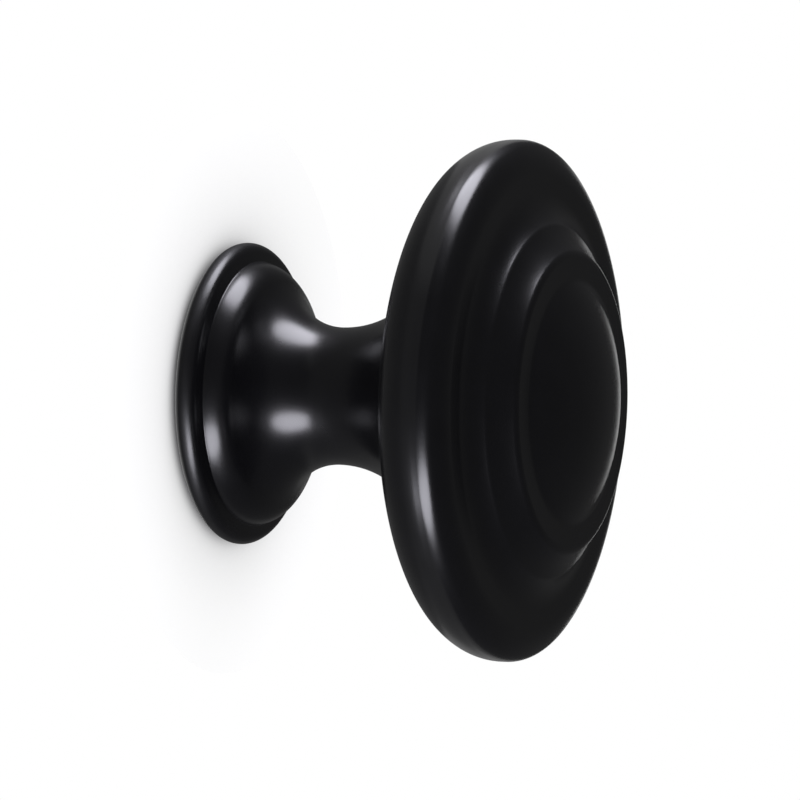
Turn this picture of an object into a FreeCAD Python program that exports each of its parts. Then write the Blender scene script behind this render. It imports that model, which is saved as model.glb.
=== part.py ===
"""Round cabinet knob: one die-cast piece with a ringed head, a waisted neck and a domed foot.

The knob is drawn as it hangs on a closed door. The door's face is the plane Y = 0, the knob
stands out along -Y, +Z is up, and the origin is the middle of the screw hole on that face.
All lengths are in millimetres and all angles in degrees.
"""
import FreeCAD, Part
import math
import os
from collections import namedtuple

import Sketcher
from FreeCAD import Rotation, Vector

NODE = "knob"

# The sizes that drive the shape. A height is measured from the door's face along the axis, and
# a rise from the ledge or ring below. A turn is how far a face leans, from 0 where it looks
# straight out sideways to 90 where it looks straight at the person who pulls the knob.
SIZES = {
    "foot_diameter": 18.8,
    "foot_bead_radius": 0.72,
    "foot_bead_trim": 0.05,
    "quirk_inset": 1.18,
    "quirk_height": 1.5,
    "foot_dome_radius": 1.63,
    "foot_dome_drop": 0.04,
    "neck_diameter": 8.52,
    "waist_height": 7.2,
    "head_diameter": 32.0,
    "rim_height": 18.64,
    "rim_band_width": 0.3,
    "underside_slope": 17.0,
    "underside_radius": 3.15,
    "rim_edge_radius": 1.1,
    "rim_edge_turn": 52.0,
    "rim_front_radius": 2.75,
    "rim_ledge_width": 1.29,
    "outer_cove_radius": 2.04,
    "outer_ring_rise": 1.09,
    "outer_ring_radius": 0.7,
    "ring_step_width": 1.57,
    "inner_cove_radius": 3.1,
    "inner_ring_rise": 1.22,
    "inner_ring_radius": 0.7,
    "crown_seat_width": 1.16,
    "crown_cove_radius": 0.8,
    "crown_rise": 1.88,
    "seat_width": 1.9,
    "boss_wall": 2.05,
    "relief_depth": 1.0,
    "relief_draft": 20.0,
    "relief_fillet": 0.3,
    "screw_hole_diameter": 3.3,
    "screw_hole_depth": 13.0,
    "screw_hole_chamfer": 0.5,
    "screw_hole_mouth_angle": 90.0,
    "drill_point_angle": 118.0,
}

# The turn of a face that looks straight at the hand, and a whole turn about the axis.
FACE_ON_TURN = 90
WHOLE_TURN = 360

# How far apart two heights may lie and still count as the same.
SAME_HEIGHT = 1e-6

# Numbers by which a sketch knows the points of a piece, its own two axes and its origin.
START, END, CENTRE = range(1, 4)
ACROSS_AXIS, UPRIGHT_AXIS = range(-1, -3, -1)
ORIGIN = (ACROSS_AXIS, START)

Round = namedtuple("Round", "centre radius")


def make_sheet(doc):
    """Puts every size in a cell of its own, named by an alias."""
    sheet = doc.addObject("Spreadsheet::Sheet", "Sizes")
    for row, (name, value) in enumerate(SIZES.items(), start=1):
        sheet.set(f"A{row}", name.replace("_", " "))
        sheet.set(f"B{row}", str(value))
        sheet.setAlias(f"B{row}", name)
    doc.recompute()


def outward(turn, length=1.0):
    """Returns a vector of the given length that looks outward at the given turn."""
    angle = math.radians(turn)
    return Vector(length * math.cos(angle), length * math.sin(angle), 0)


def turn_of(vector):
    """Returns the turn at which a vector looks."""
    return math.degrees(math.atan2(vector.y, vector.x))


def turn_between(swell, hollow):
    """Returns the turn of the face where a swelling round runs into a hollow one."""
    return turn_of(hollow.centre - swell.centre)


def cove_beside(waist, swell):
    """Returns the hollow round that is upright at the waist and touches a swelling round."""
    span = waist - swell.centre
    radius = (span.Length**2 - swell.radius**2) / (2 * (swell.radius - span.x))
    return Round(waist + outward(0, radius), radius)


def cove_along(waist, swell, turn):
    """Returns the hollow round that is upright at the waist and touches a swell's flank."""
    look = outward(turn)
    flank = swell.centre * look + swell.radius
    radius = (waist * look - flank) / (1 - look.x)
    return Round(waist + outward(0, radius), radius)


def cove_over(lower, upper, radius):
    """Returns the hollow round of the given radius that lies on two swelling ones."""
    lower_reach = lower.radius + radius
    upper_reach = upper.radius + radius
    span = upper.centre - lower.centre
    along = (span.Length**2 + lower_reach**2 - upper_reach**2) / (2 * span.Length)
    across = math.sqrt(lower_reach**2 - along**2)
    unit = span / span.Length
    return Round(lower.centre + unit * along + Vector(unit.y, -unit.x, 0) * across, radius)


def rounds_of_foot_and_neck(size):
    """Works out where the rounds of the foot and the neck lie, and the point of the quirk."""
    foot = size["foot_diameter"] / 2
    bead_radius = size["foot_bead_radius"]
    bead = Round(Vector(foot - bead_radius, bead_radius - size["foot_bead_trim"], 0), bead_radius)

    quirk = Vector(foot - size["quirk_inset"], size["quirk_height"], 0)
    drop = size["foot_dome_drop"]
    inset = math.sqrt(size["foot_dome_radius"] ** 2 - drop**2)
    dome = Round(quirk - Vector(inset, drop, 0), size["foot_dome_radius"])

    waist = Vector(size["neck_diameter"] / 2, size["waist_height"], 0)
    under_radius = size["underside_radius"]
    under = Round(Vector(size["head_diameter"] / 2 - under_radius, size["rim_height"], 0), under_radius)
    foot_cove = cove_beside(waist, dome)
    head_cove = cove_along(waist, under, size["underside_slope"] - FACE_ON_TURN)
    return bead, quirk, dome, foot_cove, head_cove, under


def rounds_of_face(size):
    """Works out where the rounds of the head's face lie, from its edge in to its crown."""
    edge_radius = size["rim_edge_radius"]
    edge_height = size["rim_height"] + size["rim_band_width"]
    edge = Round(Vector(size["head_diameter"] / 2 - edge_radius, edge_height, 0), edge_radius)
    front_radius = size["rim_front_radius"]
    front = Round(edge.centre - outward(size["rim_edge_turn"], front_radius - edge_radius), front_radius)

    # The outer ring stands on a ledge of the rim, in front of a cove.
    ledge = front.centre.y + front_radius
    cove_radius = size["outer_cove_radius"]
    outer_cove = Round(Vector(front.centre.x - size["rim_ledge_width"], ledge + cove_radius, 0), cove_radius)
    rise = size["outer_ring_rise"]
    ring_radius = size["outer_ring_radius"]
    reach = math.sqrt(rise * (2 * (cove_radius + ring_radius) - rise))
    outer_ring = Round(Vector(outer_cove.centre.x - reach, ledge + rise - ring_radius, 0), ring_radius)

    # The inner ring is one step further in and up, with a cove over both.
    inner_radius = size["inner_ring_radius"]
    step = Vector(-size["ring_step_width"], size["inner_ring_rise"] + ring_radius - inner_radius, 0)
    inner_ring = Round(outer_ring.centre + step, inner_radius)
    inner_cove = cove_over(outer_ring, inner_ring, size["inner_cove_radius"])

    # The crown is a shallow dome whose cove stands on a flat seat within the inner ring.
    seat = inner_ring.centre.y + inner_ring.radius
    cove_radius = size["crown_cove_radius"]
    cove_place = Vector(inner_ring.centre.x - size["crown_seat_width"], seat + cove_radius, 0)
    crown_cove = Round(cove_place, cove_radius)
    drop = size["crown_rise"] - cove_radius
    crown_radius = (crown_cove.centre.x**2 + drop**2 - cove_radius**2) / (2 * size["crown_rise"])
    crown = Round(Vector(0, seat + size["crown_rise"] - crown_radius, 0), crown_radius)
    return edge, front, outer_cove, outer_ring, inner_cove, inner_ring, crown_cove, crown


class Outline:
    """A closed chain of lines and arcs, in a sketch whose upright axis is the knob's axis.

    The pieces are drawn close to their places. The constraints then hold them to the sheet.
    """

    def __init__(self, body, name):
        plane = next(item for item in body.Origin.OriginFeatures if item.Role == "XZ_Plane")
        self.sketch = body.newObject("Sketcher::SketchObject", name)
        self.sketch.AttachmentSupport = [(plane, "")]
        self.sketch.MapMode = "FlatFace"
        self.first_point = {}
        self.last_point = {}

    def add(self, curve, first_point, last_point):
        """Adds a curve and keeps which of its points the chain enters and leaves by."""
        number = self.sketch.addGeometry(curve, False)
        self.first_point[number] = first_point
        self.last_point[number] = last_point
        return number

    def line(self, start, end):
        """Adds a straight piece."""
        return self.add(Part.LineSegment(start, end), START, END)

    def swell(self, shape, first_turn, last_turn):
        """Adds an arc that bulges outward between two turns."""
        circle = Part.Circle(shape.centre, Vector(0, 0, 1), shape.radius)
        arc = Part.ArcOfCircle(circle, math.radians(first_turn), math.radians(last_turn))
        return self.add(arc, START, END)

    def hollow(self, shape, first_turn, last_turn):
        """Adds an arc that is hollowed inward between two turns."""
        circle = Part.Circle(shape.centre, Vector(0, 0, 1), shape.radius)
        arc = Part.ArcOfCircle(circle, math.radians(last_turn + 180), math.radians(first_turn + 180))
        return self.add(arc, END, START)

    def limit(self, kind, *where):
        """Adds a constraint that needs no size."""
        self.sketch.addConstraint(Sketcher.Constraint(kind, *where))

    def measure(self, kind, *where, by):
        """Adds a constraint that follows a size, or a sum of sizes, from the sheet."""
        value = self.sketch.evalExpression(by)
        if kind == "Angle":
            value = math.radians(value)
        number = self.sketch.addConstraint(Sketcher.Constraint(kind, *where, value))
        self.sketch.setExpression(f"Constraints[{number}]", by)

    def join(self, kind, chain):
        """Joins each piece of a chain to the next, at a corner or with none."""
        for number, following in zip(chain, chain[1:]):
            self.limit(kind, number, self.last_point[number], following, self.first_point[following])

    def corner(self, *chain):
        """Makes each piece meet the next at a corner."""
        self.join("Coincident", chain)

    def smooth(self, *chain):
        """Makes each piece run into the next with no corner."""
        self.join("Tangent", chain)

    def finish(self):
        """Refuses a sketch that the sizes leave loose or can't satisfy."""
        if self.sketch.solve() != 0 or not self.sketch.FullyConstrained:
            raise RuntimeError(f"the sketch {self.sketch.Name} is loose or can't be solved")
        return self.sketch


def draw_foot(outline, bead, quirk, dome, dome_last_turn):
    """Draws the flat back, the foot's bead, its bevel up to a sharp quirk, and the dome."""
    bead_first_turn = -math.degrees(math.asin(bead.centre.y / bead.radius))
    bevel = quirk - bead.centre
    bevel_turn = turn_of(bevel) - math.degrees(math.acos(bead.radius / bevel.Length))
    back_corner = bead.centre + outward(bead_first_turn, bead.radius)

    back = outline.line(Vector(0, 0, 0), back_corner)
    edge = outline.swell(bead, bead_first_turn, bevel_turn)
    slope = outline.line(bead.centre + outward(bevel_turn, bead.radius), quirk)
    cushion = outline.swell(dome, turn_of(quirk - dome.centre), dome_last_turn)
    outline.corner(back, edge)
    outline.smooth(edge, slope)
    outline.corner(slope, cushion)

    outline.limit("Coincident", back, START, *ORIGIN)
    outline.limit("Horizontal", back)
    outline.measure("Radius", edge, by="Sizes.foot_bead_radius")
    outline.measure("DistanceX", *ORIGIN, edge, CENTRE, by="Sizes.foot_diameter / 2 - Sizes.foot_bead_radius")
    outline.measure("DistanceY", *ORIGIN, edge, CENTRE, by="Sizes.foot_bead_radius - Sizes.foot_bead_trim")
    outline.measure("DistanceX", *ORIGIN, slope, END, by="Sizes.foot_diameter / 2 - Sizes.quirk_inset")
    outline.measure("DistanceY", *ORIGIN, slope, END, by="Sizes.quirk_height")
    outline.measure("Radius", cushion, by="Sizes.foot_dome_radius")
    outline.measure("DistanceY", cushion, CENTRE, slope, END, by="Sizes.foot_dome_drop")
    return back, cushion


def draw_neck(outline, foot_cove, first_turn, head_cove, slope):
    """Draws the two coves that meet at the waist."""
    lower = outline.hollow(foot_cove, first_turn, 0)
    upper = outline.hollow(head_cove, 0, slope - FACE_ON_TURN)
    outline.smooth(lower, upper)
    outline.measure("DistanceX", *ORIGIN, lower, START, by="Sizes.neck_diameter / 2")
    outline.measure("DistanceY", *ORIGIN, lower, CENTRE, by="Sizes.waist_height")
    outline.measure("DistanceY", *ORIGIN, upper, CENTRE, by="Sizes.waist_height")
    return lower, upper


def draw_rim(outline, size, head_cove, under, edge, front):
    """Draws the head's sloping underside, the full rim, and the rim's front down to the ledge."""
    under_turn = size["underside_slope"] - FACE_ON_TURN
    edge_turn = size["rim_edge_turn"]
    flank_start = head_cove.centre - outward(under_turn, head_cove.radius)
    flank = outline.line(flank_start, under.centre + outward(under_turn, under.radius))
    belly = outline.swell(under, under_turn, 0)
    band = outline.line(under.centre + outward(0, under.radius), edge.centre + outward(0, edge.radius))
    arris = outline.swell(edge, 0, edge_turn)
    brow = outline.swell(front, edge_turn, FACE_ON_TURN)
    ledge_start = front.centre + outward(FACE_ON_TURN, front.radius)
    ledge = outline.line(ledge_start, ledge_start - Vector(size["rim_ledge_width"], 0, 0))
    outline.smooth(flank, belly, band, arris, brow, ledge)

    outline.measure("Angle", flank, by="Sizes.underside_slope")
    outline.measure("Radius", belly, by="Sizes.underside_radius")
    outline.measure("DistanceX", *ORIGIN, belly, END, by="Sizes.head_diameter / 2")
    outline.measure("DistanceY", *ORIGIN, belly, CENTRE, by="Sizes.rim_height")
    outline.limit("Vertical", band)
    outline.measure("DistanceY", band, START, band, END, by="Sizes.rim_band_width")
    outline.measure("Radius", arris, by="Sizes.rim_edge_radius")
    outline.measure("Angle", arris, by="Sizes.rim_edge_turn")
    outline.measure("Radius", brow, by="Sizes.rim_front_radius")
    outline.limit("Horizontal", ledge)
    outline.measure("DistanceX", ledge, END, ledge, START, by="Sizes.rim_ledge_width")
    return flank, ledge


def draw_rings(outline, ledge, outer_cove, outer_ring, inner_cove, inner_ring):
    """Draws the two rounded rings, each with the cove that it rises from."""
    outer_foot = turn_between(outer_ring, outer_cove)
    outer_top = turn_between(outer_ring, inner_cove)
    inner_foot = turn_between(inner_ring, inner_cove)
    first_cove = outline.hollow(outer_cove, FACE_ON_TURN, outer_foot)
    first_ring = outline.swell(outer_ring, outer_foot, outer_top)
    second_cove = outline.hollow(inner_cove, outer_top, inner_foot)
    second_ring = outline.swell(inner_ring, inner_foot, FACE_ON_TURN)
    outline.smooth(ledge, first_cove, first_ring, second_cove, second_ring)

    first_rise = "Sizes.outer_ring_rise - Sizes.outer_ring_radius"
    second_rise = "Sizes.inner_ring_rise + Sizes.outer_ring_radius - Sizes.inner_ring_radius"
    outline.measure("Radius", first_cove, by="Sizes.outer_cove_radius")
    outline.measure("Radius", first_ring, by="Sizes.outer_ring_radius")
    outline.measure("DistanceY", ledge, END, first_ring, CENTRE, by=first_rise)
    outline.measure("Radius", second_cove, by="Sizes.inner_cove_radius")
    outline.measure("Radius", second_ring, by="Sizes.inner_ring_radius")
    outline.measure("DistanceX", second_ring, CENTRE, first_ring, CENTRE, by="Sizes.ring_step_width")
    outline.measure("DistanceY", first_ring, CENTRE, second_ring, CENTRE, by=second_rise)
    return second_ring


def draw_crown(outline, size, ring, inner_ring, crown_cove, crown):
    """Draws the crown's flat seat, its cove, the shallow dome, and the axis down to the door."""
    seat_start = inner_ring.centre + outward(FACE_ON_TURN, inner_ring.radius)
    crown_foot = turn_between(crown, crown_cove)
    apex = crown.centre + outward(FACE_ON_TURN, crown.radius)
    seat = outline.line(seat_start, seat_start - Vector(size["crown_seat_width"], 0, 0))
    cove = outline.hollow(crown_cove, FACE_ON_TURN, crown_foot)
    dome = outline.swell(crown, crown_foot, FACE_ON_TURN)
    axis = outline.line(apex, Vector(0, 0, 0))
    outline.smooth(ring, seat, cove, dome)
    outline.corner(dome, axis)

    outline.limit("Horizontal", seat)
    outline.measure("DistanceX", seat, END, seat, START, by="Sizes.crown_seat_width")
    outline.measure("Radius", cove, by="Sizes.crown_cove_radius")
    outline.limit("PointOnObject", dome, CENTRE, UPRIGHT_AXIS)
    outline.limit("PointOnObject", dome, END, UPRIGHT_AXIS)
    outline.measure("DistanceY", seat, END, dome, END, by="Sizes.crown_rise")
    return axis


def draw_section(body, size):
    """Draws half of the knob's section, from the door's face out to the crown."""
    bead, quirk, dome, foot_cove, head_cove, under = rounds_of_foot_and_neck(size)
    edge, front, outer_cove, outer_ring, inner_cove, inner_ring, crown_cove, crown = rounds_of_face(size)
    dome_last_turn = turn_between(dome, foot_cove)

    outline = Outline(body, "TurnedSection")
    back, cushion = draw_foot(outline, bead, quirk, dome, dome_last_turn)
    lower, upper = draw_neck(outline, foot_cove, dome_last_turn, head_cove, size["underside_slope"])
    outline.smooth(cushion, lower)
    flank, ledge = draw_rim(outline, size, head_cove, under, edge, front)
    outline.smooth(upper, flank)
    ring = draw_rings(outline, ledge, outer_cove, outer_ring, inner_cove, inner_ring)
    axis = draw_crown(outline, size, ring, inner_ring, crown_cove, crown)
    outline.corner(axis, back)
    return outline.finish()


def draw_relief(body, size):
    """Draws the section of the ring-shaped hollow in the back, between the boss and the seat."""
    outer = size["foot_diameter"] / 2 - size["seat_width"]
    inner = size["screw_hole_diameter"] / 2 + size["screw_hole_chamfer"] + size["boss_wall"]
    depth = size["relief_depth"]
    draft = depth * math.tan(math.radians(size["relief_draft"]))

    outline = Outline(body, "ReliefSection")
    mouth = outline.line(Vector(inner, 0, 0), Vector(outer, 0, 0))
    outer_wall = outline.line(Vector(outer, 0, 0), Vector(outer - draft, depth, 0))
    floor = outline.line(Vector(outer - draft, depth, 0), Vector(inner + draft, depth, 0))
    inner_wall = outline.line(Vector(inner + draft, depth, 0), Vector(inner, 0, 0))
    outline.corner(mouth, outer_wall, floor, inner_wall, mouth)

    boss = "Sizes.screw_hole_diameter / 2 + Sizes.screw_hole_chamfer + Sizes.boss_wall"
    outline.limit("PointOnObject", mouth, START, ACROSS_AXIS)
    outline.limit("Horizontal", mouth)
    outline.limit("Horizontal", floor)
    outline.limit("Equal", outer_wall, inner_wall)
    outline.measure("DistanceX", *ORIGIN, mouth, START, by=boss)
    outline.measure("DistanceX", *ORIGIN, mouth, END, by="Sizes.foot_diameter / 2 - Sizes.seat_width")
    outline.measure("DistanceY", *ORIGIN, floor, START, by="Sizes.relief_depth")
    outline.measure("Angle", outer_wall, by=f"{FACE_ON_TURN} + Sizes.relief_draft")
    return outline.finish()


def turn_solid(doc, body, section):
    """Turns the section about its upright axis into the solid knob."""
    turned = body.newObject("PartDesign::Revolution", "Turning")
    turned.Profile = section
    turned.ReferenceAxis = (section, ["V_Axis"])
    turned.Angle = WHOLE_TURN
    doc.recompute()
    return turned


def hollow_back(doc, body, section):
    """Cuts the relief into the back and rounds the two corners of its floor."""
    groove = body.newObject("PartDesign::Groove", "BackRelief")
    groove.Profile = section
    groove.ReferenceAxis = (section, ["V_Axis"])
    groove.Angle = WHOLE_TURN
    doc.recompute()

    depth = SIZES["relief_depth"]
    corners = []
    for number, edge in enumerate(groove.Shape.Edges, start=1):
        box = edge.BoundBox
        if abs(box.ZMin - depth) < SAME_HEIGHT and abs(box.ZMax - depth) < SAME_HEIGHT:
            corners.append(f"Edge{number}")
    fillet = body.newObject("PartDesign::Fillet", "ReliefFillet")
    fillet.Base = (groove, corners)
    fillet.setExpression("Radius", "Sizes.relief_fillet")
    doc.recompute()
    return groove, fillet


def drill_screw_hole(doc, body):
    """Drills the blind hole for the screw, with a chamfered mouth and a drill's point."""
    plane = next(item for item in body.Origin.OriginFeatures if item.Role == "XY_Plane")
    sketch = body.newObject("Sketcher::SketchObject", "ScrewHolePlace")
    sketch.AttachmentSupport = [(plane, "")]
    sketch.MapMode = "FlatFace"
    diameter = SIZES["screw_hole_diameter"]
    circle = sketch.addGeometry(Part.Circle(Vector(0, 0, 0), Vector(0, 0, 1), diameter / 2))
    sketch.addConstraint(Sketcher.Constraint("Coincident", circle, CENTRE, *ORIGIN))
    number = sketch.addConstraint(Sketcher.Constraint("Diameter", circle, diameter))
    sketch.setExpression(f"Constraints[{number}]", "Sizes.screw_hole_diameter")
    doc.recompute()

    hole = body.newObject("PartDesign::Hole", "ScrewHole")
    hole.Profile = sketch
    hole.Reversed = True
    hole.DepthType = "Dimension"
    hole.ThreadType = "None"
    hole.DrillPoint = "Angled"
    hole.HoleCutType = "Countersink"
    hole.HoleCutCustomValues = True
    hole.setExpression("HoleCutCountersinkAngle", "Sizes.screw_hole_mouth_angle")
    hole.setExpression("Diameter", "Sizes.screw_hole_diameter")
    hole.setExpression("Depth", "Sizes.screw_hole_depth")
    hole.setExpression("DrillPointAngle", "Sizes.drill_point_angle")
    hole.setExpression("HoleCutDiameter", "Sizes.screw_hole_diameter + 2 * Sizes.screw_hole_chamfer")
    doc.recompute()
    return hole


def make_knob(doc):
    """Builds the knob upright, with its axis along Z, and then lays it along -Y."""
    body = doc.addObject("PartDesign::Body", "Knob")
    body.Label = NODE
    turned = turn_solid(doc, body, draw_section(body, SIZES))
    groove, fillet = hollow_back(doc, body, draw_relief(body, SIZES))
    hole = drill_screw_hole(doc, body)
    body.Placement = FreeCAD.Placement(Vector(0, 0, 0), Rotation(Vector(1, 0, 0), WHOLE_TURN / 4))
    doc.recompute()

    for cut, before in ((groove, turned), (hole, fillet)):
        removed = before.Shape.Volume - cut.Shape.Volume
        print(f"{cut.Name} takes away {removed:.1f} cubic millimetres")
        if removed <= 0:
            raise RuntimeError(f"{cut.Name} cuts nothing")
    return body


def check(doc, body):
    """Stops at any object that failed, and at a body that isn't one sound solid."""
    for item in doc.Objects:
        if "Invalid" in item.State or "Error" in item.State:
            raise RuntimeError(f"{item.Name} failed: {item.State}")
    if body.Shape.isNull() or not body.Shape.isValid() or len(body.Shape.Solids) != 1:
        raise RuntimeError(f"{body.Label} isn't one valid solid")


def main():
    doc = FreeCAD.newDocument("CabinetKnob")
    make_sheet(doc)
    knob = make_knob(doc)
    check(doc, knob)
    os.makedirs("parts", exist_ok=True)
    knob.Shape.exportStep(f"parts/{NODE}.step")
    box = knob.Shape.optimalBoundingBox(False, False)
    print(f"{knob.Label}: {knob.Shape.Volume:.1f} cubic millimetres, {knob.Shape.Area:.1f} square")
    print(f"It is {box.XLength:.2f} across and stands {-box.YMin:.2f} out from the door.")


main()
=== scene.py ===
# %% [markdown]
# A round cabinet knob, dressed and lit
#
# The knob is one zinc die-casting with a satin black coat. It has a ringed head, a slim waist and
# a small domed foot that stands on the door. This notebook loads the model that fixes its real
# size, gives it a finely turned skin, a tapped hole and two finishes, and photographs it.
#
# Lengths are in metres, and the section's own sizes in millimetres. The door's face is the plane
# Y = 0, the knob stands out along -Y, and +Z is up.

# %% Load the fixed model
import math

import bpy
from mathutils import Matrix, Vector


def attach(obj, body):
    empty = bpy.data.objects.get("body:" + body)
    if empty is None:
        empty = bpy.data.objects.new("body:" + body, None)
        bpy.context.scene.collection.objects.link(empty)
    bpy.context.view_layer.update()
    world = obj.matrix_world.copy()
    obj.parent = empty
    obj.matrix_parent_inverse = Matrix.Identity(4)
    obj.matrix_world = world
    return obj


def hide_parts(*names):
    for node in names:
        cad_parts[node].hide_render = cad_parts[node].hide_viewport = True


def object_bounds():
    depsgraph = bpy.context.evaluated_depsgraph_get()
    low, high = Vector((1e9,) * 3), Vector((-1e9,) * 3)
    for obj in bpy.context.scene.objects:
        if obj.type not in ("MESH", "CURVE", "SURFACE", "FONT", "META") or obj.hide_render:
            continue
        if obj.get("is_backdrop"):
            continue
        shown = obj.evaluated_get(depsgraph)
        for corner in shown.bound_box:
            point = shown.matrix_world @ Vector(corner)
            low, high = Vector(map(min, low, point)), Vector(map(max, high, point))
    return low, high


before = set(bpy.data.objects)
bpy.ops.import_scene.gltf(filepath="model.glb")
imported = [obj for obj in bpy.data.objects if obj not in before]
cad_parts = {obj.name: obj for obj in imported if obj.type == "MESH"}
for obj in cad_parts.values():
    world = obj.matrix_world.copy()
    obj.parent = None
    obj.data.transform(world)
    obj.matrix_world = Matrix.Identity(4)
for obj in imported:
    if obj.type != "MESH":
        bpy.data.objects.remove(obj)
model_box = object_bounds()
MM = 0.001
print("nodes:", sorted(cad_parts))

# %% [markdown]
# The camera
#
# The photograph looks along the door from the knob's left, with a long lens that flattens the
# depth. The camera's place is given by two angles round the knob and a slight roll, because those
# can be read as plain words: from the left, level, tilted a little. A lens of almost 300 mm stands
# in for a camera far away, and its length sets how large the head is in the picture.

# %% Place the camera
VIEW_AZIMUTH = math.radians(-66.77)
VIEW_ELEVATION = math.radians(0.57)
VIEW_ROLL = math.radians(1.32)
VIEW_DISTANCE = 405.0 * MM
VIEW_AIM = Vector((3.4, -9.66, -0.18)) * MM
LENS_MM = 292.5
SENSOR_MM = 36.0


def look_from(azimuth, elevation, roll, distance, aim):
    """Returns a camera's placement. Azimuth 0 looks along +Y, and a positive one from the right."""
    turn = Matrix.Rotation(azimuth, 4, "Z")
    tilt = Matrix.Rotation(math.pi / 2 - elevation, 4, "X")
    spin = Matrix.Rotation(roll, 4, "Z")
    return Matrix.Translation(aim) @ turn @ tilt @ spin @ Matrix.Translation((0, 0, distance))


lens = bpy.data.cameras.new("long_lens")
lens.lens = LENS_MM
lens.sensor_width = SENSOR_MM
lens.clip_start = 10 * MM
camera = bpy.data.objects.new("camera", lens)
camera.matrix_world = look_from(VIEW_AZIMUTH, VIEW_ELEVATION, VIEW_ROLL, VIEW_DISTANCE, VIEW_AIM)
bpy.context.scene.collection.objects.link(camera)
bpy.context.scene.camera = camera
bpy.context.scene.view_settings.view_transform = "Standard"
print("camera at", [round(value / MM, 1) for value in camera.matrix_world.translation], "mm")

# %% [markdown]
# The knob's section as rounds and straights
#
# The knob is turned: every cut through its axis shows the same outline. That outline is a chain
# of arcs that swell outward, arcs that are hollowed inward, and straights between them. An arc is
# kept as a centre, a radius and the two turns between which it runs. A turn is how far the
# surface leans, from 0 where it looks sideways to 90 where it looks at the hand. Points picked
# along a curve would also do, but they hide why the curve is as it is.

# %% Describe a round of the section
def look_of(turn):
    """Returns the direction in which a surface of the given turn looks."""
    return Vector((math.cos(math.radians(turn)), math.sin(math.radians(turn))))


def turn_of(look):
    """Returns the turn of a surface that looks in the given direction."""
    return math.degrees(math.atan2(look.y, look.x))


class Round:
    """A circle in the section: how far its centre lies from the axis and the door, in mm."""

    def __init__(self, across, up, radius):
        self.centre = Vector((across, up))
        self.radius = radius

    def point(self, turn, hollow=False):
        """Returns the point whose face leans by the given turn, and the way that face looks."""
        look = look_of(turn)
        return self.centre + look * (-self.radius if hollow else self.radius), look


def turn_between(swell, hollow):
    """Returns the turn at which a swelling round runs into a hollow one."""
    return turn_of(hollow.centre - swell.centre)


print("a face of turn 30 looks along", [round(part, 3) for part in look_of(30)])

# %% [markdown]
# Rounds that touch each other
#
# On the real knob each hollow flows into the swell beside it with no corner. Such a hollow isn't
# drawn by eye. Its radius and centre follow from what it has to touch, and school geometry gives
# them: two circles touch where the distance of their centres is the sum of their radii.

# %% Work out the hollows that touch their neighbours
def beside(waist, waist_height, swell):
    """Returns the hollow round that is upright at the waist and touches a swelling one."""
    span = Vector((waist, waist_height)) - swell.centre
    radius = (span.length_squared - swell.radius**2) / (2 * (swell.radius - span.x))
    return Round(waist + radius, waist_height, radius)


def along_flank(waist, waist_height, swell, turn):
    """Returns the hollow round that is upright at the waist and touches a swell's flank."""
    look = look_of(turn)
    flank = swell.centre.dot(look) + swell.radius
    radius = (Vector((waist, waist_height)).dot(look) - flank) / (1 - look.x)
    return Round(waist + radius, waist_height, radius)


def over_both(lower, upper, radius):
    """Returns the hollow round of the given radius that lies on two swelling ones."""
    lower_reach = lower.radius + radius
    upper_reach = upper.radius + radius
    span = upper.centre - lower.centre
    along = (span.length_squared + lower_reach**2 - upper_reach**2) / (2 * span.length)
    across = math.sqrt(lower_reach**2 - along**2)
    unit = span.normalized()
    centre = lower.centre + unit * along + Vector((unit.y, -unit.x)) * across
    return Round(centre.x, centre.y, radius)


def between(slope_point, slope_look, swell, radius):
    """Returns the small hollow round that fills the corner between a straight and a swell."""
    along = Vector((slope_look.y, -slope_look.x))
    start = slope_point + slope_look * radius - swell.centre
    middle = start.dot(along)
    reach = math.sqrt(middle**2 - start.length_squared + (swell.radius + radius) ** 2)
    centre = swell.centre + start + along * (reach - middle)
    return Round(centre.x, centre.y, radius)


# %% [markdown]
# Foot, neck and the underside of the head
#
# The foot has a small bead at the door, a bevel up to a crease, and a domed cushion above it. From
# there a hollow runs up to the waist and a larger one out to the underside of the head. Turners
# call such a crease a quirk and such a hollow a cove, and the names below follow them. The head's
# width is read from the loaded model, so that the skin can't differ from it.

# %% Size the foot and the neck
HEAD_RADIUS = (model_box[1][0] - model_box[0][0]) / 2 / MM
FOOT_RADIUS = 9.4
BEAD_RADIUS = 0.72
BEAD_TRIM = 0.05
QUIRK_INSET = 1.18
QUIRK_HEIGHT = 1.5
QUIRK_FILL = 0.08
DOME_RADIUS = 1.95
DOME_DROP = 0.3
WAIST_RADIUS = 4.26
WAIST_HEIGHT = 7.2
RIM_HEIGHT = 18.64
UNDERSIDE_SLOPE = 17.0
UNDERSIDE_RADIUS = 3.15
UNDER_TURN = UNDERSIDE_SLOPE - 90

bead = Round(FOOT_RADIUS - BEAD_RADIUS, BEAD_RADIUS - BEAD_TRIM, BEAD_RADIUS)
quirk = Vector((FOOT_RADIUS - QUIRK_INSET, QUIRK_HEIGHT))
dome = Round(quirk.x - math.sqrt(DOME_RADIUS**2 - DOME_DROP**2), quirk.y - DOME_DROP, DOME_RADIUS)
belly = Round(HEAD_RADIUS - UNDERSIDE_RADIUS, RIM_HEIGHT, UNDERSIDE_RADIUS)
foot_cove = beside(WAIST_RADIUS, WAIST_HEIGHT, dome)
head_cove = along_flank(WAIST_RADIUS, WAIST_HEIGHT, belly, UNDER_TURN)
bevel_span = quirk - bead.centre
bevel_turn = turn_of(bevel_span) - math.degrees(math.acos(bead.radius / bevel_span.length))
bevel_start, bevel_look = bead.point(bevel_turn)
quirk_cove = between(bevel_start, bevel_look, dome, QUIRK_FILL)
print(f"coves beside the waist: {foot_cove.radius:.2f} and {head_cove.radius:.2f} mm")

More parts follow.
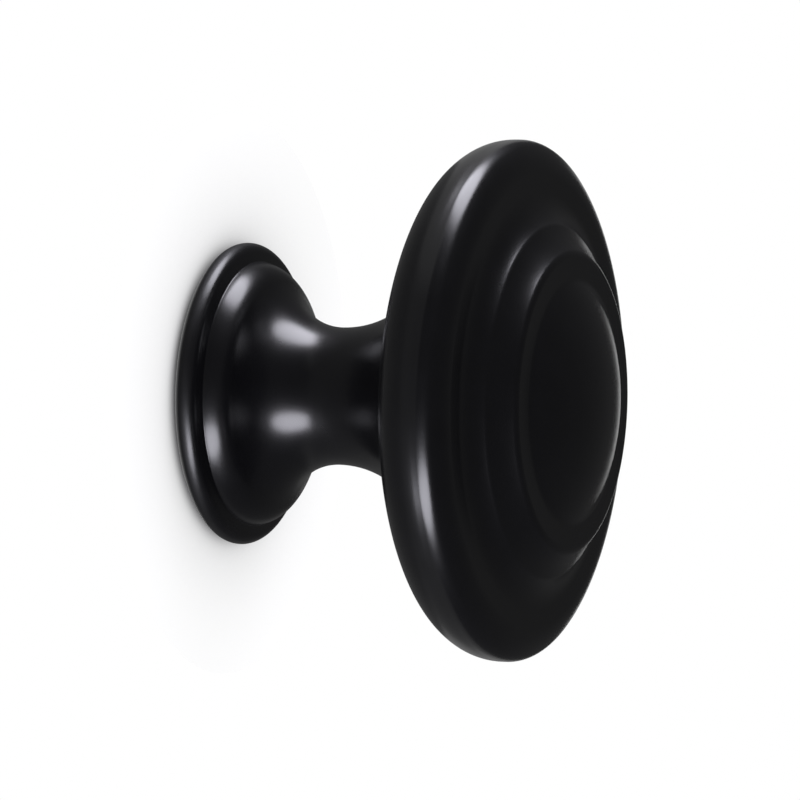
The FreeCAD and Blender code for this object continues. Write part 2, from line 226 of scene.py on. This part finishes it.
# %% [markdown]
# The rim, the two rings and the crown
#
# The head's face steps up from a broad rim over two narrow rings to a shallow crown. The rings
# are what catches the light. Each is a small swell between hollows, so that its highlight is a
# thin bright line. The rim itself is two rounds: a tight arris at its widest place, and a wider
# brow that looks at the hand.

# %% Size the head's face
RIM_BAND = 0.3
RIM_EDGE_RADIUS = 1.1
RIM_EDGE_TURN = 52.0
RIM_FRONT_RADIUS = 2.75
RIM_LEDGE = 1.03
OUTER_COVE_RADIUS = 2.6
OUTER_RISE = 1.09
RING_RADIUS = 0.7
RING_STEP = 1.57
INNER_COVE_RADIUS = 5.0
INNER_RISE = 1.22
CROWN_SEAT = 1.16
CROWN_COVE_RADIUS = 0.8
CROWN_RISE = 1.88

arris = Round(HEAD_RADIUS - RIM_EDGE_RADIUS, RIM_HEIGHT + RIM_BAND, RIM_EDGE_RADIUS)
edge_point, edge_look = arris.point(RIM_EDGE_TURN)
brow = Round(*(edge_point - edge_look * RIM_FRONT_RADIUS), RIM_FRONT_RADIUS)
ledge_height = brow.centre.y + brow.radius
outer_cove = Round(
    brow.centre.x - RIM_LEDGE, ledge_height + OUTER_COVE_RADIUS, OUTER_COVE_RADIUS,
)
outer_reach = math.sqrt(OUTER_RISE * (2 * (OUTER_COVE_RADIUS + RING_RADIUS) - OUTER_RISE))
outer_ring = Round(
    outer_cove.centre.x - outer_reach, ledge_height + OUTER_RISE - RING_RADIUS, RING_RADIUS,
)
inner_ring = Round(outer_ring.centre.x - RING_STEP, outer_ring.centre.y + INNER_RISE, RING_RADIUS)
inner_cove = over_both(outer_ring, inner_ring, INNER_COVE_RADIUS)
seat_height = inner_ring.centre.y + RING_RADIUS
crown_cove = Round(
    inner_ring.centre.x - CROWN_SEAT, seat_height + CROWN_COVE_RADIUS, CROWN_COVE_RADIUS,
)
crown_drop = CROWN_RISE - CROWN_COVE_RADIUS
crown_radius = (crown_cove.centre.x**2 + crown_drop**2 - CROWN_COVE_RADIUS**2) / (2 * CROWN_RISE)
crown = Round(0, seat_height + CROWN_RISE - crown_radius, crown_radius)
print(f"crown: {crown.radius:.2f} mm radius, top at {crown.centre.y + crown.radius:.2f} mm")

# %% [markdown]
# The back
#
# Nobody sees the back once the knob is on a door, but it says how the knob is made. A ring-shaped
# hollow saves metal and keeps the casting's wall even. The boss in its middle holds the thread,
# and the outer seat presses on the door. The hollow's walls lean by a draft angle, so that the
# casting slips off its mould, and its corners are slightly rounded.

# %% Size the back
HOLE_RADIUS = 1.65
MOUTH_CHAMFER = 0.5
BOSS_WALL = 2.05
SEAT_WIDTH = 1.9
RELIEF_DEPTH = 1.0
RELIEF_DRAFT = 20.0
RELIEF_FILL = 0.3
BACK_EDGE = 0.08

mouth_radius = HOLE_RADIUS + MOUTH_CHAMFER
boss_radius = mouth_radius + BOSS_WALL
seat_radius = FOOT_RADIUS - SEAT_WIDTH
draft = RELIEF_DEPTH * math.tan(math.radians(RELIEF_DRAFT))
print(f"boss {2 * boss_radius:.1f} mm across, seat from {seat_radius:.1f} to {FOOT_RADIUS:.1f} mm")

# %% [markdown]
# The turned skin
#
# A lathe turns the section about the axis. Blender has a Screw modifier for that, but here the
# mesh is made directly, ring by ring, because then each point also gets the exact direction in
# which the real surface looks. A dark, shiny form shows every small error in those directions
# as a kink in its highlights. Where two arcs flow into each other, their shared point is put
# down once. Where they meet in a crease, it is put down twice, with a direction for each side.

# %% Walk along the section
ARC_STEP = 3.0
CORNER_STEPS = 4
SAME_PLACE = 1e-5
SAME_LOOK = 0.01


class Section:
    """Points of the outline from one end to the other, each with the way its face looks."""

    def __init__(self):
        self.rows = []

    def put(self, point, look):
        """Adds a point, unless it says nothing that the last one didn't."""
        if self.rows:
            last_point, last_look = self.rows[-1]
            moved = (point - last_point).length >= SAME_PLACE
            if not moved and (look - last_look).length < SAME_LOOK:
                return
        self.rows.append((Vector(point), Vector(look)))

    def arc(self, shape, first_turn, last_turn, hollow=False):
        """Adds an arc between two turns."""
        count = max(2, math.ceil(abs(last_turn - first_turn) / ARC_STEP))
        for index in range(count + 1):
            turn = first_turn + (last_turn - first_turn) * index / count
            self.put(*shape.point(turn, hollow))

    def straight(self, start, end):
        """Adds a straight from one point to another."""
        run = end - start
        look = Vector((run.y, -run.x)).normalized()
        self.put(start, look)
        self.put(end, look)

    def straights(self, corners):
        """Adds straights through corners, given as across, up and the radius of the rounding."""
        points = [Vector(corner[:2]) for corner in corners]
        start = points[0]
        for before, (corner, after) in enumerate(zip(points[1:-1], points[2:])):
            arriving = (corner - points[before]).normalized()
            leaving = (after - corner).normalized()
            radius = corners[before + 1][2]
            trim = radius * math.tan(arriving.angle(leaving) / 2)
            self.straight(start, corner - arriving * trim)
            first_look = Vector((arriving.y, -arriving.x))
            last_look = Vector((leaving.y, -leaving.x))
            hollow = arriving.dot(last_look) < 0
            side = -radius if hollow else radius
            centre = corner - arriving * trim - first_look * side
            for step in range(CORNER_STEPS + 1):
                look = first_look.slerp(last_look, step / CORNER_STEPS)
                self.put(centre + look * side, look)
            start = corner + leaving * trim
        self.straight(start, points[-1])


print("arcs in steps of at most", ARC_STEP, "degrees")

# %% [markdown]
# From a section to a mesh
#
# Every point of the section becomes a ring of points round the axis, and two neighbouring rings
# are joined by quads. At the crown's top the ring shrinks to one point, and the last faces are
# triangles. The directions are handed to the mesh as custom normals.

# %% Turn a section into a mesh
COLUMNS = 192


def ring_of(columns):
    """Returns the directions of a ring's points, as seen along the axis."""
    angles = [2 * math.pi * column / columns for column in range(columns)]
    return [Vector((math.cos(angle), 0, math.sin(angle))) for angle in angles]


def piece_from(name, points, faces):
    """Makes a smooth mesh object from points and faces."""
    mesh = bpy.data.meshes.new(name)
    mesh.from_pydata(points, [], faces)
    mesh.shade_smooth()
    piece = bpy.data.objects.new(name, mesh)
    bpy.context.scene.collection.objects.link(piece)
    return piece


def turned(name, section):
    """Turns a section that ends on the axis into a mesh that lies along -Y."""
    points = []
    looks = []
    for point, look in section.rows[:-1]:
        for spin in ring_of(COLUMNS):
            points.append((spin * point.x - Vector((0, point.y, 0))) * MM)
            looks.append(spin * look.x - Vector((0, look.y, 0)))
    tip, tip_look = section.rows[-1]
    points.append(Vector((0, -tip.y, 0)) * MM)
    looks.append(Vector((0, -tip_look.y, 0)))

    faces = []
    top = (len(section.rows) - 2) * COLUMNS
    for low in range(0, top, COLUMNS):
        high = low + COLUMNS
        for column in range(COLUMNS):
            following = (column + 1) % COLUMNS
            faces.append((low + column, low + following, high + following, high + column))
    for column in range(COLUMNS):
        faces.append((top + column, top + (column + 1) % COLUMNS, len(points) - 1))
    piece = piece_from(name, points, faces)
    piece.data.normals_split_custom_set_from_vertices(looks)
    return piece


print("each ring of the skin has", COLUMNS, "points")

# %% [markdown]
# The whole outline, from the hole's mouth round to the crown's top
#
# The walk starts at the mouth of the screw hole, goes over the boss, the hollow and the seat, and
# turns round the bead into what the photograph shows. Each piece begins at the turn at which the
# last one ended.

# %% Make the skin
dome_foot_turn = turn_between(dome, quirk_cove)
dome_turn = turn_between(dome, foot_cove)
outer_foot = turn_between(outer_ring, outer_cove)
outer_top = turn_between(outer_ring, inner_cove)
inner_foot = turn_between(inner_ring, inner_cove)
crown_foot = turn_between(crown, crown_cove)
bead_first_turn = -math.degrees(math.asin(bead.centre.y / bead.radius))

outline = Section()
outline.straights([
    (mouth_radius, 0, 0),
    (boss_radius, 0, BACK_EDGE),
    (boss_radius + draft, RELIEF_DEPTH, RELIEF_FILL),
    (seat_radius - draft, RELIEF_DEPTH, RELIEF_FILL),
    (seat_radius, 0, BACK_EDGE),
    (bead.point(bead_first_turn)[0].x, 0, 0),
])
outline.arc(bead, bead_first_turn, bevel_turn)
outline.arc(quirk_cove, bevel_turn, dome_foot_turn, hollow=True)
outline.arc(dome, dome_foot_turn, dome_turn)
outline.arc(foot_cove, dome_turn, 0, hollow=True)
outline.arc(head_cove, 0, UNDER_TURN, hollow=True)
outline.arc(belly, UNDER_TURN, 0)
outline.arc(arris, 0, RIM_EDGE_TURN)
outline.arc(brow, RIM_EDGE_TURN, 90)
outline.arc(outer_cove, 90, outer_foot, hollow=True)
outline.arc(outer_ring, outer_foot, outer_top)
outline.arc(inner_cove, outer_top, inner_foot, hollow=True)
outline.arc(inner_ring, inner_foot, 90)
outline.arc(crown_cove, 90, crown_foot, hollow=True)
outline.arc(crown, crown_foot, 90)
skin = turned("cast_knob", outline)
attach(skin, "root")
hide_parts("knob")
print("skin:", len(outline.rows), "rings,", len(skin.data.polygons), "faces")

# %% [markdown]
# The tapped hole
#
# The screw's thread is cut into the boss after coating, so that it is bare metal. A thread is one
# groove that climbs by its pitch in each turn. Its shape has four bends in a pitch: two where the
# root is flat and two where the crest is. The mesh follows it: each bend is a line of points that
# runs round the hole and sinks by one pitch, and where it comes full circle it joins the line that
# starts one pitch deeper. The ridges stay crisp with few points, and no part has to be cut from
# another.

# %% Cut the thread
PITCH = 0.7
THREAD_RADIUS = 2.0
THREAD_DEPTH = 11.0
HOLE_DEPTH = 13.0
DRILL_ANGLE = 118.0
HOLE_COLUMNS = 72
CREST_FLAT = 0.25
ROOT_FLAT = 0.125
BENDS = 4
SHARP_ANGLE = 30.0

flank = (1 - CREST_FLAT - ROOT_FLAT) / 2
bend_places = (0, ROOT_FLAT, ROOT_FLAT + flank, ROOT_FLAT + flank + CREST_FLAT)
bend_radii = (THREAD_RADIUS, THREAD_RADIUS, HOLE_RADIUS, HOLE_RADIUS)
drill_tip = HOLE_DEPTH + HOLE_RADIUS / math.tan(math.radians(DRILL_ANGLE / 2))


def in_hole(spin, radius, depth):
    """Returns a point of the hole's wall, in metres."""
    return (spin * radius - Vector((0, depth, 0))) * MM


def thread_point(line, column, spin):
    """Returns a point of the thread, whose chamfer and run-out are cut here too."""
    turn, bend = divmod(line, BENDS)
    depth = PITCH * (turn - 1 + bend_places[bend]) + PITCH * column / HOLE_COLUMNS
    depth = min(max(depth, 0), THREAD_DEPTH)
    radius = max(bend_radii[bend], mouth_radius - depth)
    run_out = max(0, (depth - THREAD_DEPTH + PITCH) / PITCH)
    return in_hole(spin, radius - (radius - HOLE_RADIUS) * run_out, depth)


def tapped(name):
    """Makes the hole's wall: the mouth's chamfer, the thread, and the drill's plain end."""
    lines = BENDS * math.ceil(THREAD_DEPTH / PITCH + 1)
    ring = ring_of(HOLE_COLUMNS)
    points = [
        thread_point(line, column, spin)
        for line in range(lines) for column, spin in enumerate(ring)
    ]
    faces = []
    for line in range(lines - 1):
        for column in range(HOLE_COLUMNS):
            here = line * HOLE_COLUMNS + column
            full_circle = column == HOLE_COLUMNS - 1
            beyond = (line + BENDS) * HOLE_COLUMNS if full_circle else here + 1
            if beyond + HOLE_COLUMNS < len(points):
                faces.append((here, here + HOLE_COLUMNS, beyond + HOLE_COLUMNS, beyond))
    low = len(points)
    high = low + HOLE_COLUMNS
    tip = high + HOLE_COLUMNS
    for depth in (THREAD_DEPTH, HOLE_DEPTH):
        points += [in_hole(spin, HOLE_RADIUS, depth) for spin in ring]
    points.append(Vector((0, -drill_tip, 0)) * MM)
    for column in range(HOLE_COLUMNS):
        following = (column + 1) % HOLE_COLUMNS
        faces.append((low + column, high + column, high + following, low + following))
        faces.append((high + column, tip, high + following))
    piece = piece_from(name, points, faces)
    piece.data.set_sharp_from_angle(angle=math.radians(SHARP_ANGLE))
    return piece


hole = tapped("tapped_hole")
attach(hole, "root")
print("hole:", len(hole.data.polygons), "faces")

# %% [markdown]
# Wires for the materials
#
# A material in Blender is a net of nodes. Written out node by node its maths is hard to read, so
# this small class wraps an output socket and lets Python's own plus, minus and times place the
# Math nodes.

# %% Wrap the shader sockets
class Wire:
    """One output of a node. Arithmetic on wires adds Math nodes."""

    def __init__(self, socket):
        self.socket = socket
        self.tree = socket.id_data

    @classmethod
    def node(cls, tree, kind, settings=None, inputs=None, output=0):
        """Adds a node, makes its settings, then fills or links its inputs."""
        made = tree.nodes.new(kind)
        for name, value in (settings or {}).items():
            setattr(made, name, value)
        for name, value in (inputs or {}).items():
            if isinstance(value, Wire):
                tree.links.new(value.socket, made.inputs[name])
            else:
                made.inputs[name].default_value = value
        return cls(made.outputs[output]) if made.outputs else None

    def maths(self, operation, first, second):
        """Adds a Math node for two values, of which at least one is a wire."""
        settings = {"operation": operation}
        return Wire.node(self.tree, "ShaderNodeMath", settings, {0: first, 1: second})

    def __add__(self, other):
        return self.maths("ADD", self, other)

    __radd__ = __add__

    def __sub__(self, other):
        return self.maths("SUBTRACT", self, other)

    def __rsub__(self, other):
        return self.maths("SUBTRACT", other, self)

    def __mul__(self, other):
        return self.maths("MULTIPLY", self, other)

    __rmul__ = __mul__

    def ramp(self, low, high):
        """Runs smoothly from 0 to 1 while the wire runs from low to high."""
        return Wire.node(
            self.tree, "ShaderNodeMapRange", {"interpolation_type": "SMOOTHSTEP"},
            {"Value": self, "From Min": low, "From Max": high},
        )

    def blend(self, first, second):
        """Mixes two colours by this wire."""
        return Wire.node(
            self.tree, "ShaderNodeMix", {"data_type": "RGBA"}, {0: self, 6: first, 7: second},
            output=2,
        )


def blank_tree(owner):
    """Switches a material or world to nodes and returns its emptied tree."""
    owner.use_nodes = True
    owner.node_tree.nodes.clear()
    return owner.node_tree


print("a wire also has:", [name for name in vars(Wire) if not name.startswith("__")])

# %% [markdown]
# Grain and relief
#
# Both finishes need the same three things: the place of a point on the knob, a noise that varies
# from place to place, and a bump that lets the noise tilt the surface. A noise's scale says how
# many grains fit in a metre, which is hard to picture, so the helper takes a grain's size instead.

# %% Make helpers for grain
def place_on(tree):
    """Returns the place on the knob, and how far along the axis it lies: 0 at the door."""
    place = Wire.node(tree, "ShaderNodeTexCoord", output="Object")
    return place, Wire.node(tree, "ShaderNodeSeparateXYZ", {}, {0: place}, output=1)


def noise(tree, place, size, detail):
    """Returns a noise whose grains are about the given size in metres."""
    inputs = {"Vector": place, "Scale": 1 / size, "Detail": detail}
    return Wire.node(tree, "ShaderNodeTexNoise", {}, inputs)


def bump_of(tree, height, strength, depth):
    """Returns a normal that is tilted as if the surface rose and fell with the height."""
    inputs = {"Strength": strength, "Distance": depth, "Height": height}
    return Wire.node(tree, "ShaderNodeBump", {}, inputs)


print("a grain of 0.1 mm is a noise of scale", round(1 / (0.1 * MM)))

# %% [markdown]
# The satin black coat
#
# The coat is sprayed on and baked. It is almost as black as a coat can be, so nearly all that the
# eye sees of it is the light that it mirrors, softened by its fine grain. Baked paint is never
# quite even: its gloss drifts a little from place to place, and its surface has a faint peel like
# that of an orange. Next to the door, on the bead and in the hollow of the back, the casting was
# never polished, and the coat follows its grain.

# %% Mix the coat
COAT_DARK = (0.0015, 0.0015, 0.0018, 1)
COAT_LIGHT = (0.0035, 0.0035, 0.0042, 1)
COAT_IOR = 1.5
SATIN = 0.23
DRIFT_GRAIN = 2.4 * MM
PEEL_GRAIN = 0.34 * MM
FINE_GRAIN = 0.12 * MM
PEEL_DEPTH = 0.004 * MM
UNPOLISHED_FROM, UNPOLISHED_TO = -1.3 * MM, -0.7 * MM
SEAT_FROM, SEAT_TO = -0.12 * MM, -0.04 * MM


def satin_black():
    """Makes the coat from three noises of different grain."""
    material = bpy.data.materials.new("satin_black_coat")
    tree = blank_tree(material)
    place, along = place_on(tree)
    drift = noise(tree, place, DRIFT_GRAIN, 3.0)
    peel = noise(tree, place, PEEL_GRAIN, 2.0)
    grain = noise(tree, place, FINE_GRAIN, 4.0)
    by_door = along.ramp(UNPOLISHED_FROM, UNPOLISHED_TO) * (1 - along.ramp(SEAT_FROM, SEAT_TO))
    relief = peel * 0.5 + grain * (0.06 + by_door * 1.6)
    coat = Wire.node(
        tree, "ShaderNodeBsdfPrincipled", {},
        {
            "Base Color": (drift * 0.5 + grain * 0.5).blend(COAT_DARK, COAT_LIGHT),
            "Roughness": SATIN + drift * 0.06 + by_door * 0.14,
            "IOR": COAT_IOR,
            "Normal": bump_of(tree, relief, 0.35, PEEL_DEPTH),
        },
    )
    Wire.node(tree, "ShaderNodeOutputMaterial", {}, {"Surface": coat})
    return material


skin.data.materials.append(satin_black())
print("coat:", len(skin.data.materials[0].node_tree.nodes), "nodes")

# %% [markdown]
# Bare zinc in the hole
#
# The tap leaves bright metal with fine scratches that run round the hole. Noise that is squeezed
# along the axis gives such rings. Some of the coat's spray has settled on the mouth's chamfer,
# and fades where the tool cut it away.

# %% Mix the bare metal
ZINC_DARK = (0.30, 0.31, 0.33, 1)
ZINC_LIGHT = (0.58, 0.59, 0.61, 1)
TOOLED = 0.28
SQUEEZE = (0.15, 4.0, 0.15)
RING_GRAIN = 0.25 * MM
STAIN_GRAIN = 0.6 * MM
SCRATCH_DEPTH = 0.01 * MM
SPRAY_REACH = 0.5 * MM
SPRAY_FROM, SPRAY_TO = -0.12 * MM, 0.02 * MM


def bare_zinc():
    """Makes tooled metal with what is left of the coat at the mouth."""
    material = bpy.data.materials.new("bare_zinc")
    tree = blank_tree(material)
    place, along = place_on(tree)
    squeezed = Wire.node(
        tree, "ShaderNodeVectorMath", {"operation": "MULTIPLY"}, {0: place, 1: SQUEEZE},
    )
    rings = noise(tree, squeezed, RING_GRAIN, 3.0)
    stain = noise(tree, place, STAIN_GRAIN, 3.0)
    sprayed = (along + stain * SPRAY_REACH).ramp(SPRAY_FROM, SPRAY_TO)
    zinc = (rings * 0.7 + stain * 0.3).blend(ZINC_DARK, ZINC_LIGHT)
    metal = Wire.node(
        tree, "ShaderNodeBsdfPrincipled", {},
        {
            "Base Color": sprayed.blend(zinc, COAT_LIGHT),
            "Metallic": 1 - sprayed,
            "Roughness": TOOLED + rings * 0.16,
            "Normal": bump_of(tree, rings, 0.4, SCRATCH_DEPTH),
        },
    )
    Wire.node(tree, "ShaderNodeOutputMaterial", {}, {"Surface": metal})
    return material


hole.data.materials.append(bare_zinc())
print("metal:", len(hole.data.materials[0].node_tree.nodes), "nodes")

# %% [markdown]
# Paint for a white background
#
# A white background comes from its own colour and a glow for the rays that look at it, straight or
# by way of gloss, so that the lamps don't have to be turned up for it. An ambient occlusion node
# dims the glow in nooks: that is painted shade, and it draws the soft shadow round the foot. The
# paint is see-through from behind, so that the knob's back can be looked at.

# %% Mix the paint
PAINTED_SHADE_REACH = 0.013


def looking(tree):
    """Returns 1 for rays that look at the background, straight or by way of gloss or glass."""
    rays = tree.nodes.new("ShaderNodeLightPath")
    straight = Wire(rays.outputs["Is Camera Ray"])
    gloss = Wire(rays.outputs["Is Glossy Ray"])
    glass = Wire(rays.outputs["Is Transmission Ray"])
    return straight + gloss + glass


def white_paint(name, colour, glow):
    """Makes matt paint with a glow for the rays that look at it, seen from its front only."""
    material = bpy.data.materials.new(name)
    tree = blank_tree(material)
    matt = Wire.node(tree, "ShaderNodeBsdfDiffuse", {}, {"Color": colour})
    # Painted shade: ambient occlusion dims the glow, and so draws the soft shadow round the foot.
    painted_shade = Wire.node(tree, "ShaderNodeAmbientOcclusion", {}, {"Distance": PAINTED_SHADE_REACH}, output=1)
    shine = Wire.node(tree, "ShaderNodeEmission", {}, {"Strength": looking(tree) * painted_shade * glow})
    front = Wire.node(tree, "ShaderNodeAddShader", {}, {0: matt, 1: shine})
    clear = Wire.node(tree, "ShaderNodeBsdfTransparent")
    behind = Wire.node(tree, "ShaderNodeNewGeometry", output="Backfacing")
    both = Wire.node(tree, "ShaderNodeMixShader", {}, {0: behind, 1: front, 2: clear})
    Wire.node(tree, "ShaderNodeOutputMaterial", {}, {"Surface": both})
    return material


print("the glow fades in nooks of", PAINTED_SHADE_REACH / MM, "mm")

# %% [markdown]
# Door and floor
#
# The knob stands on a piece of a white door front, which shows only the soft shadow round the
# foot, painted as shade into its glow: it is darker paint than it looks, because its glow makes it
# white. It lies a hair behind the foot, so that the two don't flicker through each other. The
# knob's gloss doesn't see it, and mirrors two cards instead, which are laid further below. A pale
# floor lies far under the knob.

# %% Set up the door and the floor
DOOR_RADIUS = 0.0175
DOOR_GAP = 0.0002
DOOR_PAPER = (0.12, 0.12, 0.12, 1)
DOOR_GLOW = 0.93
FLOOR_DROP = 0.45
FLOOR_HALF = 0.90
FLOOR_PAPER = (0.80, 0.80, 0.80, 1)
FLOOR_GLOW = 0.45


def disc(name, radius, gap, columns):
    """Makes a flat round plate that faces the knob, a gap behind its foot."""
    points = [spin * radius + Vector((0, gap, 0)) for spin in ring_of(columns)]
    return piece_from(name, points, [tuple(range(columns))])


door = disc("door_front", DOOR_RADIUS, DOOR_GAP, COLUMNS)
door.data.materials.append(white_paint("door_paint", DOOR_PAPER, DOOR_GLOW))
door.visible_shadow = False
door.visible_glossy = False
door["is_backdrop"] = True

floor_points = [
    (x * FLOOR_HALF, y * FLOOR_HALF, -FLOOR_DROP) for x, y in ((-1, -1), (1, -1), (1, 1), (-1, 1))
]
floor = piece_from("pale_floor", floor_points, [(0, 1, 2, 3)])
floor.data.materials.append(white_paint("floor_paint", FLOOR_PAPER, FLOOR_GLOW))
floor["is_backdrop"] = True
print("door:", 2 * DOOR_RADIUS / MM, "mm across, floor:", 2 * FLOOR_HALF, "m across")

# %% [markdown]
# The room
#
# All round is white paper. What looks at it sees full white, and as a light it is kept low, so
# that the soft boxes draw the highlights.

# %% Fill the room
ROOM_FILL = 0.20

room = bpy.data.worlds.new("room")
bpy.context.scene.world = room
tree = blank_tree(room)
strength = ROOM_FILL + looking(tree) * (1 - ROOM_FILL)
sky = Wire.node(tree, "ShaderNodeBackground", {}, {"Color": (1, 1, 1, 1), "Strength": strength})
Wire.node(tree, "ShaderNodeOutputWorld", {}, {"Surface": sky})
print("room: as a light", ROOM_FILL, "and 1.0 to look at")

# %% [markdown]
# Cloth and paper that only gloss can see
#
# A black object shows its surroundings rather than its colour, so a photographer hangs cloth and
# paper round it. Here they are plates of one plain grey that glow, and need no lamp. They are seen
# by glossy rays alone: the camera looks through them, and they throw no light and no shadow.

# %% Make cloth and paper
def only_for_gloss(piece):
    """Hides a stage piece from all rays but the glossy ones."""
    piece.visible_camera = False
    piece.visible_diffuse = False
    piece.visible_shadow = False
    piece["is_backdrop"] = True
    return piece


def cloth(name, shade):
    """Makes cloth or paper of one plain grey."""
    material = bpy.data.materials.new(name)
    tree = blank_tree(material)
    # The grey is a glow of its own, not lit by the lamps: it paints a reflection.
    matt = Wire.node(tree, "ShaderNodeEmission", {}, {"Color": (1, 1, 1, 1), "Strength": shade})
    Wire.node(tree, "ShaderNodeOutputMaterial", {}, {"Surface": matt})
    return material


print("so far on the stage:", [item.name for item in (door, floor)])

# %% [markdown]
# A drum of cloth round the product
#
# The drum has a table, a wall of three bands and a ceiling, and its glowing plates paint what the
# knob's gloss mirrors. Black cloth hangs in front, so that the head's face stays dark. On the
# door's side the paper's glow is dim, painted as the shade of an unlit wall, and to the right and
# on the ceiling it is paler, painted as a wall lit by the overhead box. A narrow slot on the right
# lets the white room through, and draws the thin bright line along the edges that turn away from
# the eye.

# %% Hang the drum
DRUM_RADIUS = 0.60
DRUM_LOW = -0.42
DRUM_HIGH = 0.62
DRUM_PANELS = 90
SLOT_HALF = 0.10
SLOT_FROM, SLOT_TO = 4.0, 28.0
PAPER_FROM, PAPER_TO = 12.0, 64.0
DOOR_SIDE_TO = 164.0
TABLE, LOW_BAND, SLOT_BAND, HIGH_BAND, CEILING = range(5)
BLACK_CLOTH, PAINTED_UNLIT_WALL, PAINTED_LIT_WALL = range(3)
SHADES = (("black_cloth", 0.065), ("painted_unlit_wall", 0.19), ("painted_lit_wall", 0.36))

drum_points = [
    (spin.x * DRUM_RADIUS, spin.z * DRUM_RADIUS, height)
    for height in (DRUM_LOW, -SLOT_HALF, SLOT_HALF, DRUM_HIGH) for spin in ring_of(DRUM_PANELS)
]
table_middle, ceiling_middle = len(drum_points), len(drum_points) + 1
drum_points += [(0, 0, DRUM_LOW), (0, 0, DRUM_HIGH)]


def hung_at(angle, band):
    """Returns which cloth or paper hangs at an angle round the knob, or None for the slot."""
    if band == SLOT_BAND and SLOT_FROM <= angle < SLOT_TO:
        return None
    if not PAPER_FROM <= angle < DOOR_SIDE_TO:
        return BLACK_CLOTH
    # Paler paper is painted light, as from the overhead box; dim paper is painted shade.
    if band == CEILING or (band != TABLE and angle < PAPER_TO):
        return PAINTED_LIT_WALL
    return PAINTED_UNLIT_WALL


def drum_face(panel, band):
    """Returns the corners of one panel: a slice of the table or ceiling, or a piece of wall."""
    following = (panel + 1) % DRUM_PANELS
    low, high = (band - 1) * DRUM_PANELS, band * DRUM_PANELS
    if band == TABLE:
        return table_middle, following, panel
    if band == CEILING:
        return low + panel, low + following, ceiling_middle
    return low + panel, low + following, high + following, high + panel


drum_faces = []
hung = []
for band in (TABLE, LOW_BAND, SLOT_BAND, HIGH_BAND, CEILING):
    for panel in range(DRUM_PANELS):
        kind = hung_at(360 * panel / DRUM_PANELS, band)
        if kind is not None:
            drum_faces.append(drum_face(panel, band))
            hung.append(kind)
drum = only_for_gloss(piece_from("cloth_drum", drum_points, drum_faces))
for name, shade in SHADES:
    drum.data.materials.append(cloth(name, shade))
for face, kind in zip(drum.data.polygons, hung):
    face.material_index = kind
print("drum:", 2 * DRUM_RADIUS, "m across, with a slot of", SLOT_TO - SLOT_FROM, "degrees")

# %% [markdown]
# Two cards at the door
#
# The neck and the underside of the head mirror the door round the foot. In the photograph they
# stay dark, so a dark ring of card lies on the door: its dim glow paints a dark reflection there.
# A pale card stands behind the foot, where only the knob's back mirrors it: its glow paints a pale
# reflection that brings out the hollow and the boss there.

# %% Lay the cards
CARD_HOLE = 0.0093
CARD_RADIUS = 0.032
CARD_SHADE = 0.12
BACK_CARD_RADIUS = 0.024
BACK_CARD_GAP = 0.012
BACK_CARD_SHADE = 0.85

card_points = [
    spin * radius + Vector((0, DOOR_GAP / 2, 0))
    for radius in (CARD_HOLE, CARD_RADIUS) for spin in ring_of(DRUM_PANELS)
]
card_faces = []
for panel in range(DRUM_PANELS):
    following = (panel + 1) % DRUM_PANELS
    card_faces.append((panel, following, following + DRUM_PANELS, panel + DRUM_PANELS))
# A painted dark reflection, seen by gloss alone.
card = only_for_gloss(piece_from("dark_reflection_card", card_points, card_faces))
card.data.materials.append(cloth("dark_reflection_card", CARD_SHADE))

# A painted pale reflection for the knob's back, seen by gloss alone.
pale_reflection_card = only_for_gloss(disc("pale_reflection_card", BACK_CARD_RADIUS, BACK_CARD_GAP, DRUM_PANELS))
pale_reflection_card.data.materials.append(cloth("pale_reflection_card", BACK_CARD_SHADE))
print("cards:", 2 * CARD_RADIUS / MM, "and", 2 * BACK_CARD_RADIUS / MM, "mm across")

# %% [markdown]
# Two soft boxes
#
# The photograph's highlights tell where its lamps were. Where the knob mirrors a lamp, the way
# back from the eye, turned over by the surface, points at it. A large soft box hangs nearly
# overhead, and a second stands low on the left. They are oval, which softens the ends of their
# highlights, and a touch bluer than the paper.

# %% Set the lamps
LAMP_TINT = (0.91, 0.905, 1.0)
LAMP_AIM = Vector((0, -12, 0)) * MM
AXIS = Vector((0, 1, 0))


def soft_box(name, direction, distance, width, length, watts):
    """Hangs a soft box in a direction from the knob, its length along the knob's axis."""
    lamp = bpy.data.lights.new(name, "AREA")
    lamp.shape = "ELLIPSE"
    lamp.size = width
    lamp.size_y = length
    lamp.energy = watts
    lamp.color = LAMP_TINT
    box = bpy.data.objects.new(name, lamp)
    bpy.context.scene.collection.objects.link(box)
    away = Vector(direction).normalized()
    across = AXIS.cross(away).normalized()
    along = away.cross(across)
    facing = Matrix((across, along, away)).transposed().to_4x4()
    box.matrix_world = Matrix.Translation(LAMP_AIM + away * distance) @ facing
    box.visible_camera = False


soft_box("overhead_box", (0.18, -0.14, 0.97), distance=0.45, width=0.28, length=0.46, watts=3.5)
soft_box("low_left_box", (-0.73, -0.17, -0.65), distance=0.40, width=0.21, length=0.46, watts=2.75)

# %% [markdown]
# Sizes and the end
#
# The skin has to stay inside the box of the model that it dresses. The boxes of both are printed,
# side by side.

# %% Print the sizes and finish
seen_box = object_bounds()
sizes = {
    "cad": [list(corner) for corner in model_box],
    "visual": [list(corner) for corner in seen_box],
}
for name, box in sizes.items():
    print(name, [round((high - low) / MM, 2) for low, high in zip(*box)], "mm")
